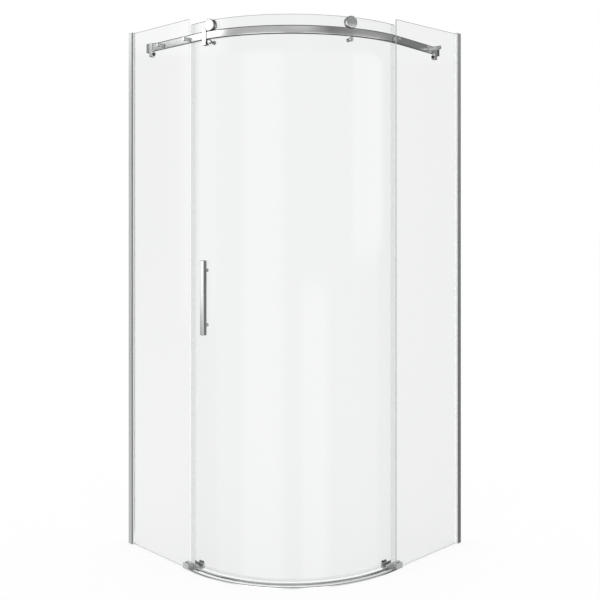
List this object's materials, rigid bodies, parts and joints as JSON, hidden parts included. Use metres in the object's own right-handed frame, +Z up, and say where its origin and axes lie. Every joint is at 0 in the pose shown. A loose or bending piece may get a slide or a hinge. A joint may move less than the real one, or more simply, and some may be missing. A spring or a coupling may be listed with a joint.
{
  "type": "quadrant shower enclosure",
  "caption": "Clear glass quadrant shower enclosure with flat fixed panes and a curved sliding door that hangs on wheels from a bent steel rail.",
  "frame": {"origin": "middle of the footprint at the floor", "axes": "+Z up; the room's corner is at (-X, +Y), the left wall is the plane x = -0.45 m, the back wall is the plane y = +0.45 m, and the curved door faces (+X, -Y)"},
  "size_m": [0.9, 0.9, 1.95],
  "materials": {
    "clear_glass": "polished",
    "profile_metal": "bright anodised",
    "steel": "fine brushed",
    "chrome": "polished",
    "black_rubber": "matte",
    "black_plastic": "fine grain",
    "clear_seal": "smooth translucent",
    "white_plastic": "smooth"
  },
  "bodies": {
    "frame": {"left_wall_channel": "profile_metal", "right_wall_channel": "profile_metal", "left_glass_profile": "profile_metal", "right_glass_profile": "profile_metal", "left_pane_gasket": "clear_seal", "right_pane_gasket": "clear_seal", "profile_caps": "profile_metal", "profile_screws": "chrome", "left_fixed_pane": "clear_glass", "right_fixed_pane": "clear_glass", "left_foot_strip": "clear_seal", "right_foot_strip": "clear_seal", "rail": "steel", "rail_end_caps": "chrome", "rail_bolts": "chrome", "rail_spacers": "chrome", "rail_gaskets": "clear_seal", "glass_bushes": "white_plastic", "left_end_stop": "chrome", "door_stop": "chrome", "right_end_stop": "chrome", "stop_bumpers": "black_rubber", "stop_screws": "chrome", "threshold": "profile_metal", "left_guide_clamp": "chrome", "right_guide_clamp": "chrome", "left_guide_block": "black_plastic", "right_guide_block": "black_plastic", "left_guide_tab": "chrome", "right_guide_tab": "chrome", "guide_screws": "chrome"},
    "door": {"door_pane": "clear_glass", "left_edge_seal": "clear_seal", "right_edge_seal": "clear_seal", "door_sweep": "clear_seal", "wheel_axles": "chrome", "axle_nuts": "chrome", "axle_bushes": "white_plastic", "lift_discs": "chrome", "lift_pins": "chrome", "handle_bar": "chrome", "handle_posts": "chrome", "handle_screws": "chrome", "handle_gaskets": "clear_seal"},
    "left_roller": {"left_wheel": "chrome", "left_wheel_cap": "chrome", "left_wheel_bearing": "chrome"},
    "right_roller": {"right_wheel": "chrome", "right_wheel_cap": "chrome", "right_wheel_bearing": "chrome"}
  },
  "joints": [
    {"name": "door_slide", "type": "hinge", "parent": "frame", "child": "door", "pos_m": [-0.048, 0.053, 0.975], "axis": [0, 0, 1], "range_deg": [0, 34]},
    {"name": "left_roll", "type": "hinge", "parent": "door", "child": "left_roller", "pos_m": [0.02149, -0.42262, 1.914], "axis": [0.1496, -0.9888, 0], "range_deg": [-930, 10]},
    {"name": "right_roll", "type": "hinge", "parent": "door", "child": "right_roller", "pos_m": [0.39918, -0.11348, 1.914], "axis": [0.9397, -0.342, 0], "range_deg": [-930, 10]}
  ],
  "couplings": [
    {"joint": "left_roll", "follows": "door_slide", "ratio": -27},
    {"joint": "right_roll", "follows": "door_slide", "ratio": -27}
  ]
}
